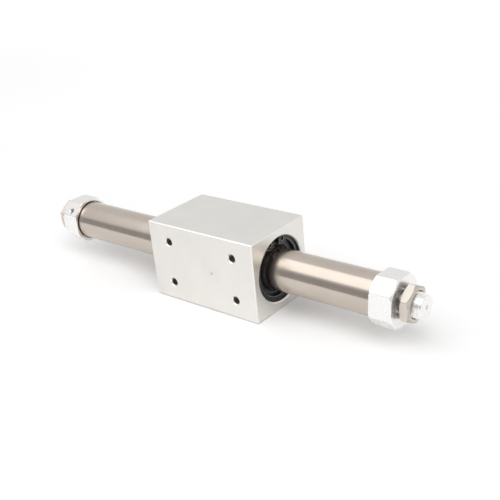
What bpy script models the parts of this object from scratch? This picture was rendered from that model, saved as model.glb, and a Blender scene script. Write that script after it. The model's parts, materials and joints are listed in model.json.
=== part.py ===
"""Rodless pneumatic cylinder whose slider is carried along by magnets.

A stainless tube is held between two octagonal head covers with threaded noses.
A piston with a stack of ring magnets runs inside the tube. A square slider block
with a matching stack of ring magnets runs on the outside of the tube.

Frame: metres, +Z up, +X along the tube. The origin is under the middle of the
cylinder, at the height of the slider's bottom face, which is what it rests on.
The slider's mounting face looks towards -Y.
"""

import math

import bmesh
import bpy
from mathutils import Matrix, Vector

# General fits
CLEARANCE = 0.0003
RUNNING_CLEARANCE = 0.0006

# Travel
STROKE = 0.100
REST_OFFSET = 0.0062

# Tube
TUBE_BORE = 0.0160
TUBE_WALL = 0.0009
TUBE_END_CHAMFER = 0.00025

# Magnet and yoke stacks, the same pitch inside and outside the tube
MAGNET_COUNT = 4
MAGNET_THICKNESS = 0.0050
YOKE_THICKNESS = 0.0030
OUTER_MAGNET_WIDTH = 0.0044
SHAFT_DIAMETER = 0.0040
INNER_MAGNET_INSET = 0.0003

# Piston
PISTON_LENGTH = 0.0090
PISTON_CHAMFER = 0.0006
SHAFT_ENGAGEMENT = 0.0060
PISTON_BAND_WIDTH = 0.0024
PISTON_BAND_THICKNESS = 0.0010
PISTON_SEAL_WIDTH = 0.0018
PISTON_SEAL_DEPTH = 0.0015
PISTON_LAND = 0.0012

# Slider block
SLIDER_WALL = 0.0033
SLIDER_EDGE_CHAMFER = 0.0004
MOUTH_DEPTH = 0.0012
MOUTH_CHAMFER = 0.0004
MOUNT_PITCH_LENGTH = 0.0350
MOUNT_PITCH_HEIGHT = 0.0190
MOUNT_HOLE_DIAMETER = 0.0033
MOUNT_HOLE_DEPTH = 0.0050
MOUNT_HOLE_COUNTERSINK = 0.0005

# Guide parts at each end of the slider
HOLDER_LENGTH = 0.0068
HOLDER_LIP_LENGTH = 0.0008
HOLDER_EDGE_CHAMFER = 0.0003
SLIDER_BAND_WIDTH = 0.0025
SLIDER_BAND_THICKNESS = 0.0023
BAND_SLIT = 0.0008
SCRAPER_LIP_WIDTH = 0.0007
SCRAPER_LIP_REACH = 0.0004
SCRAPER_LIP_CUT = 0.0006

# Retaining rings
CIRCLIP_THICKNESS = 0.0012
CIRCLIP_GRIP = 0.0006
CIRCLIP_BACK_WIDTH = 0.0029
CIRCLIP_TIP_WIDTH = 0.0021
CIRCLIP_LUG_WIDTH = 0.0043
CIRCLIP_LUG_ANGLE = 19.0
CIRCLIP_GAP_ANGLE = 9.0
CIRCLIP_EYE_DIAMETER = 0.0018

# Head covers
COVER_WALL = 0.0007
COVER_FACE_WIDTH = 0.0100
COVER_INNER_CHAMFER = 0.0004
COVER_OUTER_CHAMFER = 0.0010
SOCKET_GAP = 0.0004
SOCKET_DEPTH = 0.0028
SOCKET_CHAMFER = 0.00025
SPIGOT_LENGTH = 0.0045
SEAL_SECTION = 0.0014
SEAL_COLLAR = 0.0012
PORT_DIAMETER = 0.0025
PORT_WALL = 0.0006
PORT_COUNTERSINK = 0.0004
PORT_OFFSET = 0.0011
COVER_END_WALL = 0.0037
CHANNEL_DIAMETER = 0.0030
RIGHT_COVER_TURN = -5.0
LEFT_COVER_TURN = 0.0
RIGHT_PORT_ANGLE = 45.0
LEFT_PORT_ANGLE = 135.0

# Bumpers on the head covers, inside the tube
BUMPER_THICKNESS = 0.0020
BUMPER_GAP = 0.0004
SNOUT_DIAMETER = 0.0060

# Threaded noses and their nuts
NOSE_DIAMETER = 0.0100
NOSE_LENGTH = 0.0090
NOSE_CHAMFER = 0.0006
RELIEF_LENGTH = 0.0012
RELIEF_DEPTH = 0.0007
CENTRE_DRILL_DIAMETER = 0.0020
NUT_WALL = 0.0020
NUT_THICKNESS = 0.0040
NUT_CHAMFER = 0.0005
RIGHT_NUT_STANDOFF = 0.0013
LEFT_NUT_STANDOFF = 0.0025
RIGHT_NUT_TURN = -28.0
LEFT_NUT_TURN = -25.0

# Smoothness of round pieces: seen ones, and ones closed in by others
SEEN_SEGMENTS = 36
INNER_SEGMENTS = 20
HOLE_SEGMENTS = 16
SHARP_ANGLE = 35.0

# Radii that follow from the sizes above
TUBE_INNER_RADIUS = TUBE_BORE / 2
TUBE_OUTER_RADIUS = TUBE_INNER_RADIUS + TUBE_WALL
RING_INNER_RADIUS = TUBE_OUTER_RADIUS + RUNNING_CLEARANCE
RING_OUTER_RADIUS = RING_INNER_RADIUS + OUTER_MAGNET_WIDTH
SLIDER_BORE_RADIUS = RING_OUTER_RADIUS + CLEARANCE
SLIDER_WIDTH = 2 * (SLIDER_BORE_RADIUS + SLIDER_WALL)
AXIS_HEIGHT = SLIDER_WIDTH / 2
PISTON_RADIUS = TUBE_INNER_RADIUS - RUNNING_CLEARANCE
SHAFT_RADIUS = SHAFT_DIAMETER / 2
SOCKET_RADIUS = TUBE_OUTER_RADIUS + SOCKET_GAP
COVER_HALF_WIDTH = SOCKET_RADIUS + COVER_WALL
SPIGOT_RADIUS = TUBE_INNER_RADIUS - CLEARANCE
NOSE_RADIUS = NOSE_DIAMETER / 2
PORT_RADIUS = PORT_DIAMETER / 2
WIPE_RADIUS = TUBE_OUTER_RADIUS + CLEARANCE
LIP_RADIUS = WIPE_RADIUS + SCRAPER_LIP_WIDTH
HOLDER_OPENING_RADIUS = LIP_RADIUS + CLEARANCE
BAND_OUTER_RADIUS = WIPE_RADIUS + SLIDER_BAND_THICKNESS
HOLDER_POCKET_RADIUS = BAND_OUTER_RADIUS + CLEARANCE

# Lengths that follow from the sizes above
STACK_PITCH = MAGNET_THICKNESS + YOKE_THICKNESS + 2 * CLEARANCE
STACK_HALF = MAGNET_COUNT * STACK_PITCH / 2 + YOKE_THICKNESS / 2
HOLDER_START = STACK_HALF + CLEARANCE
HOLDER_END = HOLDER_START + HOLDER_LENGTH
CIRCLIP_START = HOLDER_END + CLEARANCE
CIRCLIP_END = CIRCLIP_START + CIRCLIP_THICKNESS
SLIDER_HALF = CIRCLIP_END + MOUTH_DEPTH
PISTON_HALF = STACK_HALF + CLEARANCE + PISTON_LENGTH
BUMPER_FACE = STROKE / 2 + PISTON_HALF + BUMPER_GAP
SPIGOT_FACE = BUMPER_FACE + BUMPER_THICKNESS + CLEARANCE
SOCKET_FLOOR = SPIGOT_FACE + SPIGOT_LENGTH
COVER_INNER_FACE = SOCKET_FLOOR - SOCKET_DEPTH
TUBE_END = SOCKET_FLOOR - CLEARANCE
PORT_X = SOCKET_FLOOR + PORT_WALL + PORT_RADIUS
COVER_OUTER_FACE = PORT_X + PORT_RADIUS + COVER_END_WALL
NOSE_END = COVER_OUTER_FACE + NOSE_LENGTH

RIGHT = 1
LEFT = -1
SIDE_NAMES = {RIGHT: "right", LEFT: "left"}


def clear_scene():
    """Removes every object that the file holds."""
    for old in list(bpy.data.objects):
        bpy.data.objects.remove(old, do_unlink=True)


def new_collection(name):
    """Adds an empty collection to the scene."""
    collection = bpy.data.collections.new(name)
    bpy.context.scene.collection.children.link(collection)
    return collection


def new_material(name, colour, roughness, metallic):
    """A plain Principled material."""
    material = bpy.data.materials.new(name)
    material.use_nodes = True
    shader = material.node_tree.nodes["Principled BSDF"]
    shader.inputs["Base Color"].default_value = (*colour, 1.0)
    shader.inputs["Roughness"].default_value = roughness
    shader.inputs["Metallic"].default_value = metallic
    material.diffuse_color = (*colour, 1.0)
    return material


def link_object(name, data, collection):
    """Makes an object from a mesh or curve and puts it in a collection."""
    item = bpy.data.objects.new(name, data)
    collection.objects.link(item)
    return item


def mesh_from_bmesh(name, working):
    """Turns a bmesh into mesh data."""
    working.normal_update()
    mesh = bpy.data.meshes.new(name)
    working.to_mesh(mesh)
    working.free()
    return mesh


def evaluated_mesh(item):
    """The mesh of an object with its modifiers or bevel worked out."""
    graph = bpy.context.evaluated_depsgraph_get()
    return bpy.data.meshes.new_from_object(item.evaluated_get(graph))


def make_cutter(item):
    """Marks an object as a tool for other shapes and not as a part."""
    item.hide_render = True
    item.display_type = "WIRE"
    return item


def turned(name, profile, collection, segments, closed=True):
    """A solid of revolution about local Z.

    The profile is a list of (radius, height) points that runs down the outer
    side. A closed one makes a ring, and an open one starts and ends on the axis.
    """
    working = bmesh.new()
    points = [working.verts.new((radius, 0.0, height)) for radius, height in profile]
    for start, end in zip(points, points[1:]):
        working.edges.new((start, end))
    if closed:
        working.edges.new((points[-1], points[0]))
    item = link_object(name, mesh_from_bmesh(name, working), collection)
    screw = item.modifiers.new("turn", "SCREW")
    screw.axis = "Z"
    screw.steps = segments
    screw.render_steps = segments
    screw.use_merge_vertices = True
    screw.merge_threshold = 1e-6
    return item


def rectangle_profile(inner, outer, low, high):
    """The section of a plain ring."""
    return [(outer, high), (outer, low), (inner, low), (inner, high)]


def box(name, size, collection, chamfer=0.0, along_z_only=False):
    """A block about its own middle, with chamfered edges."""
    working = bmesh.new()
    bmesh.ops.create_cube(working, size=1.0, matrix=Matrix.Diagonal((*size, 1.0)))
    if chamfer > 0.0:
        edges = list(working.edges)
        if along_z_only:
            edges = [e for e in edges if abs(e.verts[0].co.z - e.verts[1].co.z) > size[2] / 2]
        bmesh.ops.bevel(working, geom=edges, offset=chamfer, segments=1, affect="EDGES")
    return link_object(name, mesh_from_bmesh(name, working), collection)


def prism(name, sides, across_flats, length, collection):
    """A regular prism along local Z with a flat facing local +X."""
    circle = across_flats / 2 / math.cos(math.pi / sides)
    working = bmesh.new()
    bmesh.ops.create_cone(
        working, cap_ends=True, segments=sides, radius1=circle, radius2=circle, depth=length
    )
    bmesh.ops.rotate(working, verts=working.verts, matrix=Matrix.Rotation(math.pi / sides, 3, "Z"))
    return link_object(name, mesh_from_bmesh(name, working), collection)


def combine(item, tool, operation):
    """Adds an exact Boolean to an object."""
    boolean = item.modifiers.new(tool.name, "BOOLEAN")
    boolean.object = tool
    boolean.operation = operation
    boolean.solver = "EXACT"


def place_on_axis(item, side, distance=0.0, turn=0.0, parent=None):
    """Lays local Z along the tube, pointing out of the given end.

    The turn, in degrees about +X, is measured in the same sense at both ends.
    """
    item.matrix_basis = (
        Matrix.Translation((side * distance, 0.0, 0.0 if parent else AXIS_HEIGHT))
        @ Matrix.Rotation(math.radians(turn), 4, "X")
        @ Matrix.Rotation(side * math.pi / 2, 4, "Y")
    )
    if parent:
        item.parent = parent
    return item


def settle(item, material):
    """Works the modifiers into the mesh, shades it and gives it its material."""
    bpy.context.view_layer.update()
    mesh = evaluated_mesh(item)
    mesh.name = item.name
    item.modifiers.clear()
    item.data = mesh
    mesh.shade_smooth()
    mesh.set_sharp_from_angle(angle=math.radians(SHARP_ANGLE))
    mesh.materials.clear()
    mesh.materials.append(material)
    return item


def copy_piece(source, name, collection):
    """Another object with the same mesh and parent."""
    item = link_object(name, source.data, collection)
    item.parent = source.parent
    return item


def carriage(name, collection):
    """An empty on the tube's axis at the rest place of what moves."""
    empty = link_object(name, None, collection)
    empty.location = (REST_OFFSET, 0.0, AXIS_HEIGHT)
    bpy.context.view_layer.update()
    return empty


def build_tube(parts, steel):
    """The plain tube between the head covers."""
    chamfer = TUBE_END_CHAMFER
    inner = TUBE_INNER_RADIUS
    outer = TUBE_OUTER_RADIUS
    profile = [
        (outer - chamfer, TUBE_END),
        (outer, TUBE_END - chamfer),
        (outer, chamfer - TUBE_END),
        (outer - chamfer, -TUBE_END),
        (inner, -TUBE_END),
        (inner, TUBE_END),
    ]
    tube = turned("cylinder_tube", profile, parts, SEEN_SEGMENTS)
    place_on_axis(tube, RIGHT)
    settle(tube, steel)


def cover_profile():
    """Outer side of a head cover with its nose, then the socket and spigot inside."""
    corner = math.hypot(COVER_HALF_WIDTH, COVER_FACE_WIDTH / 2)
    blank = corner + CLEARANCE
    outer_rim = COVER_HALF_WIDTH + CLEARANCE
    inner_rim = corner - COVER_INNER_CHAMFER
    relief = NOSE_RADIUS - RELIEF_DEPTH
    drill = CENTRE_DRILL_DIAMETER / 2
    seal_floor = SPIGOT_RADIUS - SEAL_SECTION - CLEARANCE
    seal_high = SPIGOT_FACE + SEAL_COLLAR + SEAL_SECTION + 2 * CLEARANCE
    seal_low = SPIGOT_FACE + SEAL_COLLAR
    snout = SNOUT_DIAMETER / 2
    snout_face = BUMPER_FACE + BUMPER_THICKNESS / 2
    channel = CHANNEL_DIAMETER / 2
    return [
        (0.0, NOSE_END - drill),
        (drill, NOSE_END),
        (NOSE_RADIUS - NOSE_CHAMFER, NOSE_END),
        (NOSE_RADIUS, NOSE_END - NOSE_CHAMFER),
        (NOSE_RADIUS, COVER_OUTER_FACE + RELIEF_LENGTH),
        (relief, COVER_OUTER_FACE + RELIEF_LENGTH - RELIEF_DEPTH / 2),
        (relief, COVER_OUTER_FACE),
        (outer_rim, COVER_OUTER_FACE),
        (blank, COVER_OUTER_FACE - COVER_OUTER_CHAMFER - CLEARANCE),
        (blank, COVER_INNER_FACE + COVER_INNER_CHAMFER + CLEARANCE),
        (inner_rim, COVER_INNER_FACE),
        (SOCKET_RADIUS + SOCKET_CHAMFER, COVER_INNER_FACE),
        (SOCKET_RADIUS, COVER_INNER_FACE + SOCKET_CHAMFER),
        (SOCKET_RADIUS, SOCKET_FLOOR),
        (SPIGOT_RADIUS, SOCKET_FLOOR),
        (SPIGOT_RADIUS, seal_high),
        (seal_floor, seal_high),
        (seal_floor, seal_low),
        (SPIGOT_RADIUS, seal_low),
        (SPIGOT_RADIUS, SPIGOT_FACE),
        (snout, SPIGOT_FACE),
        (snout, snout_face),
        (channel, snout_face),
        (channel, PORT_X),
        (0.0, PORT_X + channel / 2),
    ]


def port_cutter(name, side, angle, tools):
    """A drill with a countersink, square to a corner flat and a little off its middle.

    The angle, in degrees about +X from +Y, is that of the corner flat.
    """
    rim = (COVER_HALF_WIDTH + COVER_FACE_WIDTH / 2) / math.sqrt(2)
    chamfer = PORT_COUNTERSINK
    profile = [
        (0.0, rim + chamfer),
        (PORT_RADIUS + 2 * chamfer, rim + chamfer),
        (PORT_RADIUS, rim - chamfer),
        (PORT_RADIUS, 0.0),
        (0.0, 0.0),
    ]
    cutter = turned(name, profile, tools, HOLE_SEGMENTS, closed=False)
    cutter.matrix_basis = (
        Matrix.Translation((side * PORT_X, 0.0, AXIS_HEIGHT))
        @ Matrix.Rotation(math.radians(angle), 4, "X")
        @ Matrix.Translation((0.0, 0.0, PORT_OFFSET))
        @ Matrix.Rotation(-math.pi / 2, 4, "X")
    )
    return make_cutter(cutter)


def build_head_cover(side, turn, port_angle, parts, tools, aluminium):
    """A cover turned from square bar whose corners are milled off, with its port."""
    name = SIDE_NAMES[side]
    length = NOSE_END - BUMPER_FACE
    middle = (NOSE_END + BUMPER_FACE) / 2
    width = 2 * COVER_HALF_WIDTH
    corner_cut = COVER_HALF_WIDTH - COVER_FACE_WIDTH / 2
    bar = box(f"bar_{name}", (width, width, length), tools, corner_cut, along_z_only=True)
    place_on_axis(make_cutter(bar), side, middle, turn)
    drill = port_cutter(f"port_drill_{name}", side, port_angle + turn, tools)
    cover = turned(f"head_cover_{name}", cover_profile(), parts, SEEN_SEGMENTS, closed=False)
    place_on_axis(cover, side)
    combine(cover, bar, "INTERSECT")
    combine(cover, drill, "DIFFERENCE")
    settle(cover, aluminium)


def build_nut(side, standoff, turn, parts, tools, plated):
    """A thin hexagon nut on the nose, with its corners turned off."""
    name = SIDE_NAMES[side]
    flats = NOSE_DIAMETER + 2 * NUT_WALL
    bore = NOSE_RADIUS + CLEARANCE
    land = flats / 2 - CLEARANCE
    corner = flats / math.sqrt(3)
    blank = corner + CLEARANCE
    half = NUT_THICKNESS / 2
    slope = (blank - land) * math.tan(math.radians(30.0))
    profile = [
        (land, half),
        (blank, half - slope),
        (blank, slope - half),
        (land, -half),
        (bore + NUT_CHAMFER, -half),
        (bore, NUT_CHAMFER - half),
        (bore, half - NUT_CHAMFER),
        (bore + NUT_CHAMFER, half),
    ]
    distance = COVER_OUTER_FACE + standoff + half
    hexagon = prism(f"hexagon_{name}", 6, flats, NUT_THICKNESS + 2 * CLEARANCE, tools)
    place_on_axis(make_cutter(hexagon), side, distance, turn)
    nut = turned(f"mounting_nut_{name}", profile, parts, SEEN_SEGMENTS)
    place_on_axis(nut, side, distance)
    combine(nut, hexagon, "INTERSECT")
    settle(nut, plated)


def build_tube_seal(side, parts, rubber):
    """The round ring that seals the spigot in the tube."""
    section = SEAL_SECTION / 2
    middle_radius = SPIGOT_RADIUS - section
    middle = SPIGOT_FACE + SEAL_COLLAR + CLEARANCE + section
    corners = 8
    profile = []
    for step in range(corners):
        angle = -2 * math.pi * step / corners
        profile.append((middle_radius + section * math.cos(angle), section * math.sin(angle)))
    seal = turned(f"tube_seal_{SIDE_NAMES[side]}", profile, parts, INNER_SEGMENTS)
    place_on_axis(seal, side, middle)
    settle(seal, rubber)


def build_bumper(side, parts, rubber):
    """The soft ring that the piston meets at the end of its stroke."""
    profile = rectangle_profile(
        SNOUT_DIAMETER / 2 + CLEARANCE, SPIGOT_RADIUS, 0.0, BUMPER_THICKNESS
    )
    bumper = turned(f"bumper_{SIDE_NAMES[side]}", profile, parts, INNER_SEGMENTS)
    place_on_axis(bumper, side, BUMPER_FACE)
    settle(bumper, rubber)


def build_stack(prefix, inner, magnet_outer, yoke_outer, carrier, parts, materials):
    """Ring magnets with a steel yoke on both sides of each."""
    half_magnet = MAGNET_THICKNESS / 2
    half_yoke = YOKE_THICKNESS / 2
    magnet_profile = rectangle_profile(inner, magnet_outer, -half_magnet, half_magnet)
    yoke_profile = rectangle_profile(inner, yoke_outer, -half_yoke, half_yoke)
    magnet = turned(f"{prefix}_magnet_1", magnet_profile, parts, INNER_SEGMENTS)
    yoke = turned(f"{prefix}_yoke_1", yoke_profile, parts, INNER_SEGMENTS)
    for item, material in ((magnet, materials["magnet"]), (yoke, materials["yoke"])):
        settle(item, material)
        item.parent = carrier
    first_yoke = -MAGNET_COUNT * STACK_PITCH / 2
    for index in range(MAGNET_COUNT + 1):
        ring = yoke
        if index > 0:
            ring = copy_piece(yoke, f"{prefix}_yoke_{index + 1}", parts)
        place_on_axis(ring, RIGHT, first_yoke + index * STACK_PITCH, parent=carrier)
    for index in range(MAGNET_COUNT):
        ring = magnet
        if index > 0:
            ring = copy_piece(magnet, f"{prefix}_magnet_{index + 1}", parts)
        place_on_axis(ring, RIGHT, first_yoke + (index + 0.5) * STACK_PITCH, parent=carrier)


def build_shaft(carrier, parts, steel):
    """The rod that ties the piston stack together."""
    reach = STACK_HALF + CLEARANCE + SHAFT_ENGAGEMENT - CLEARANCE
    chamfer = SHAFT_RADIUS / 5
    profile = [
        (0.0, reach),
        (SHAFT_RADIUS - chamfer, reach),
        (SHAFT_RADIUS, reach - chamfer),
        (SHAFT_RADIUS, chamfer - reach),
        (SHAFT_RADIUS - chamfer, -reach),
        (0.0, -reach),
    ]
    shaft = turned("piston_shaft", profile, parts, INNER_SEGMENTS, closed=False)
    place_on_axis(shaft, RIGHT, parent=carrier)
    settle(shaft, steel)


def piston_grooves():
    """Where the band groove and the seal groove start and end along a piston."""
    band_low = STACK_HALF + CLEARANCE + PISTON_LAND
    band_high = band_low + PISTON_BAND_WIDTH + 2 * CLEARANCE
    seal_low = band_high + PISTON_LAND
    seal_high = seal_low + PISTON_SEAL_WIDTH + 2 * CLEARANCE
    return band_low, band_high, seal_low, seal_high


def build_piston(side, carrier, parts, aluminium):
    """One end of the piston, screwed on the shaft, with a blind hole for it."""
    band_low, band_high, seal_low, seal_high = piston_grooves()
    start = STACK_HALF + CLEARANCE
    outer = PISTON_RADIUS
    band_floor = SPIGOT_RADIUS - PISTON_BAND_THICKNESS - CLEARANCE
    seal_floor = SPIGOT_RADIUS - PISTON_SEAL_DEPTH - CLEARANCE
    hole = SHAFT_RADIUS + CLEARANCE
    profile = [
        (0.0, PISTON_HALF),
        (outer - PISTON_CHAMFER, PISTON_HALF),
        (outer, PISTON_HALF - PISTON_CHAMFER),
        (outer, seal_high),
        (seal_floor, seal_high),
        (seal_floor, seal_low),
        (outer, seal_low),
        (outer, band_high),
        (band_floor, band_high),
        (band_floor, band_low),
        (outer, band_low),
        (outer, start),
        (hole, start),
        (hole, start + SHAFT_ENGAGEMENT),
        (0.0, start + SHAFT_ENGAGEMENT),
    ]
    piston = turned(f"piston_{SIDE_NAMES[side]}", profile, parts, INNER_SEGMENTS, closed=False)
    place_on_axis(piston, side, parent=carrier)
    settle(piston, aluminium)


def build_piston_seal(side, carrier, parts, rubber):
    """A cup seal whose open side faces the pressure."""
    outer = SPIGOT_RADIUS
    inner = outer - PISTON_SEAL_DEPTH
    low = piston_grooves()[2] + CLEARANCE
    high = low + PISTON_SEAL_WIDTH
    lip = PISTON_SEAL_DEPTH / 4
    profile = [
        (outer, high),
        (outer - lip / 2, low),
        (inner, low),
        (inner, high),
        (inner + lip, high),
        ((inner + outer) / 2, (low + high) / 2),
        (outer - lip, high),
    ]
    seal = turned(f"piston_seal_{SIDE_NAMES[side]}", profile, parts, INNER_SEGMENTS)
    place_on_axis(seal, side, parent=carrier)
    settle(seal, rubber)


def split_band(name, side, profile, middle, reach, carrier, parts, tools, resin):
    """A guide band, cut through on one side so that it can be sprung into place."""
    slit = box(f"slit_{name}", (reach, BAND_SLIT, reach), tools)
    place_on_axis(make_cutter(slit), side, middle, parent=carrier)
    slit.location += Vector((0.0, 0.0, -reach / 2))
    band = turned(name, profile, parts, INNER_SEGMENTS)
    place_on_axis(band, side, parent=carrier)
    combine(band, slit, "DIFFERENCE")
    settle(band, resin)


def build_piston_band(side, carrier, parts, tools, resin):
    """The guide band in the groove of a piston."""
    low = piston_grooves()[0] + CLEARANCE
    high = low + PISTON_BAND_WIDTH
    outer = SPIGOT_RADIUS
    profile = rectangle_profile(outer - PISTON_BAND_THICKNESS, outer, low, high)
    name = f"piston_wear_ring_{SIDE_NAMES[side]}"
    split_band(name, side, profile, (low + high) / 2, 2 * outer, carrier, parts, tools, resin)


def slider_bore_profile():
    """Half of the through bore: mouth, groove for the retaining ring, plain bore."""
    groove = SLIDER_BORE_RADIUS + CIRCLIP_GRIP + CLEARANCE
    past = SLIDER_HALF + MOUTH_CHAMFER
    return [
        (SLIDER_BORE_RADIUS + 2 * MOUTH_CHAMFER, past),
        (SLIDER_BORE_RADIUS, SLIDER_HALF - MOUTH_CHAMFER),
        (SLIDER_BORE_RADIUS, CIRCLIP_END + CLEARANCE),
        (groove, CIRCLIP_END + CLEARANCE),
        (groove, CIRCLIP_START - CLEARANCE),
        (SLIDER_BORE_RADIUS, CIRCLIP_START - CLEARANCE),
    ]


def build_slider_body(carrier, parts, tools, aluminium):
    """The square block with its bore and the four threaded holes in its front."""
    half = slider_bore_profile()
    far_half = [(radius, -height) for radius, height in reversed(half)]
    past = half[0][1]
    profile = [(0.0, past)] + half + far_half + [(0.0, -past)]
    bore = turned("slider_bore", profile, tools, SEEN_SEGMENTS, closed=False)
    place_on_axis(make_cutter(bore), RIGHT, parent=carrier)
    size = (2 * SLIDER_HALF, SLIDER_WIDTH, SLIDER_WIDTH)
    block = box("slider_body", size, parts, SLIDER_EDGE_CHAMFER)
    block.parent = carrier
    combine(block, bore, "DIFFERENCE")
    sink = MOUNT_HOLE_COUNTERSINK
    radius = MOUNT_HOLE_DIAMETER / 2
    hole_profile = [
        (0.0, sink),
        (radius + 2 * sink, sink),
        (radius, -sink),
        (radius, -MOUNT_HOLE_DEPTH),
        (0.0, -MOUNT_HOLE_DEPTH - radius / 2),
    ]
    for row in (LEFT, RIGHT):
        for column in (LEFT, RIGHT):
            name = f"mount_drill_{row}_{column}"
            drill = turned(name, hole_profile, tools, HOLE_SEGMENTS, closed=False)
            drill.parent = carrier
            drill.rotation_euler = (math.pi / 2, 0.0, 0.0)
            along = column * MOUNT_PITCH_LENGTH / 2
            up = row * MOUNT_PITCH_HEIGHT / 2
            drill.location = (along, -SLIDER_WIDTH / 2, up)
            combine(block, make_cutter(drill), "DIFFERENCE")
    settle(block, aluminium)


def build_holder(side, carrier, parts, resin):
    """The black end guide that fills the bore and holds the band and the scraper."""
    opening = HOLDER_OPENING_RADIUS
    pocket = HOLDER_POCKET_RADIUS
    outer = RING_OUTER_RADIUS
    profile = [
        (outer, HOLDER_END),
        (outer, HOLDER_START),
        (pocket, HOLDER_START),
        (pocket, HOLDER_END - HOLDER_LIP_LENGTH),
        (opening, HOLDER_END - HOLDER_LIP_LENGTH),
        (opening, HOLDER_END - HOLDER_EDGE_CHAMFER),
        (opening + HOLDER_EDGE_CHAMFER, HOLDER_END),
    ]
    holder = turned(f"scraper_holder_{SIDE_NAMES[side]}", profile, parts, SEEN_SEGMENTS)
    place_on_axis(holder, side, parent=carrier)
    settle(holder, resin)


def build_slider_band(side, carrier, parts, tools, resin):
    """The guide band between the slider's end guide and the tube."""
    low = HOLDER_START + CLEARANCE
    high = low + SLIDER_BAND_WIDTH
    outer = BAND_OUTER_RADIUS
    profile = rectangle_profile(WIPE_RADIUS, outer, low, high)
    name = f"slider_wear_ring_{SIDE_NAMES[side]}"
    split_band(name, side, profile, (low + high) / 2, 2 * outer, carrier, parts, tools, resin)


def build_scraper(side, carrier, parts, rubber):
    """A rubber ring with a lip that wipes the tube, looking out of the slider."""
    tip = WIPE_RADIUS
    lip = LIP_RADIUS
    outside = BAND_OUTER_RADIUS
    low = HOLDER_START + SLIDER_BAND_WIDTH + 2 * CLEARANCE
    shoulder = HOLDER_END - HOLDER_LIP_LENGTH - CLEARANCE
    lip_end = HOLDER_END - SCRAPER_LIP_REACH
    profile = [
        (lip - SCRAPER_LIP_WIDTH / 3, lip_end),
        (lip, lip_end - SCRAPER_LIP_WIDTH / 3),
        (lip, shoulder),
        (outside, shoulder),
        (outside, low),
        (lip, low),
        (lip - SCRAPER_LIP_WIDTH / 3, lip_end - 2 * SCRAPER_LIP_CUT),
        (tip, lip_end - SCRAPER_LIP_CUT),
        (tip, lip_end - SCRAPER_LIP_CUT / 2),
    ]
    scraper = turned(f"scraper_{SIDE_NAMES[side]}", profile, parts, SEEN_SEGMENTS)
    place_on_axis(scraper, side, parent=carrier)
    settle(scraper, rubber)


def smooth_step(value):
    """Eases from 0 to 1."""
    value = min(max(value, 0.0), 1.0)
    return value * value * (3.0 - 2.0 * value)


def circlip_width(angle):
    """Radial width of the ring at an angle, in degrees, from the middle of its gap."""
    lug_end = CIRCLIP_GAP_ANGLE + CIRCLIP_LUG_ANGLE
    ease = smooth_step((angle - lug_end) / (180.0 - lug_end))
    ring = CIRCLIP_TIP_WIDTH + (CIRCLIP_BACK_WIDTH - CIRCLIP_TIP_WIDTH) * ease
    fillet = smooth_step((angle - lug_end + CIRCLIP_LUG_ANGLE / 4) / (CIRCLIP_LUG_ANGLE / 2))
    return CIRCLIP_LUG_WIDTH + (ring - CIRCLIP_LUG_WIDTH) * fillet


def circlip_outline(outer):
    """The open ring with two lugs, the middle of its gap on local +Y."""
    fine = [CIRCLIP_GAP_ANGLE + CIRCLIP_LUG_ANGLE * step / 8 for step in range(13)]
    coarse_start = fine[-1]
    coarse_count = 10
    coarse = [
        coarse_start + (180.0 - coarse_start) * (step + 1) / coarse_count
        for step in range(coarse_count)
    ]
    one_side = fine + coarse
    angles = one_side + [360.0 - angle for angle in reversed(one_side[:-1])]
    points = []
    for angle in angles:
        turn = math.radians(angle)
        points.append((outer * math.sin(turn), outer * math.cos(turn)))
    for angle in reversed(angles):
        turn = math.radians(angle)
        inner = outer - circlip_width(min(angle, 360.0 - angle))
        points.append((inner * math.sin(turn), inner * math.cos(turn)))
    return points


def circle_points(centre, radius, count):
    """Points around a small round hole."""
    points = []
    for step in range(count):
        turn = 2 * math.pi * step / count
        points.append((centre[0] + radius * math.cos(turn), centre[1] + radius * math.sin(turn)))
    return points


def build_circlip(side, carrier, parts, tools, black_steel):
    """The sprung retaining ring in the mouth, its lugs at the top."""
    outer = SLIDER_BORE_RADIUS + CIRCLIP_GRIP
    eye_radius = outer - CIRCLIP_LUG_WIDTH / 2
    eye_turn = math.radians(CIRCLIP_GAP_ANGLE + CIRCLIP_LUG_ANGLE / 2)
    outlines = [circlip_outline(outer)]
    for direction in (LEFT, RIGHT):
        centre = (direction * eye_radius * math.sin(eye_turn), eye_radius * math.cos(eye_turn))
        outlines.append(circle_points(centre, CIRCLIP_EYE_DIAMETER / 2, 12))
    name = f"circlip_{SIDE_NAMES[side]}"
    curve = bpy.data.curves.new(name, "CURVE")
    curve.dimensions = "2D"
    curve.fill_mode = "BOTH"
    curve.extrude = CIRCLIP_THICKNESS / 2
    for outline in outlines:
        spline = curve.splines.new("POLY")
        spline.points.add(len(outline) - 1)
        for point, (x, y) in zip(spline.points, outline):
            point.co = (x, y, 0.0, 1.0)
        spline.use_cyclic_u = True
    drawn = link_object(f"{name}_outline", curve, tools)
    bpy.context.view_layer.update()
    mesh = evaluated_mesh(drawn)
    working = bmesh.new()
    working.from_mesh(mesh)
    bmesh.ops.remove_doubles(working, verts=working.verts, dist=1e-7)
    bmesh.ops.recalc_face_normals(working, faces=working.faces)
    working.to_mesh(mesh)
    working.free()
    ring = link_object(name, mesh, parts)
    bpy.data.objects.remove(drawn, do_unlink=True)
    middle = (CIRCLIP_START + CIRCLIP_END) / 2
    ring.matrix_basis = (
        Matrix.Translation((side * middle, 0.0, 0.0))
        @ Matrix.Rotation(side * math.pi / 2, 4, "Z")
        @ Matrix.Rotation(math.pi / 2, 4, "X")
    )
    ring.parent = carrier
    settle(ring, black_steel)


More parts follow.
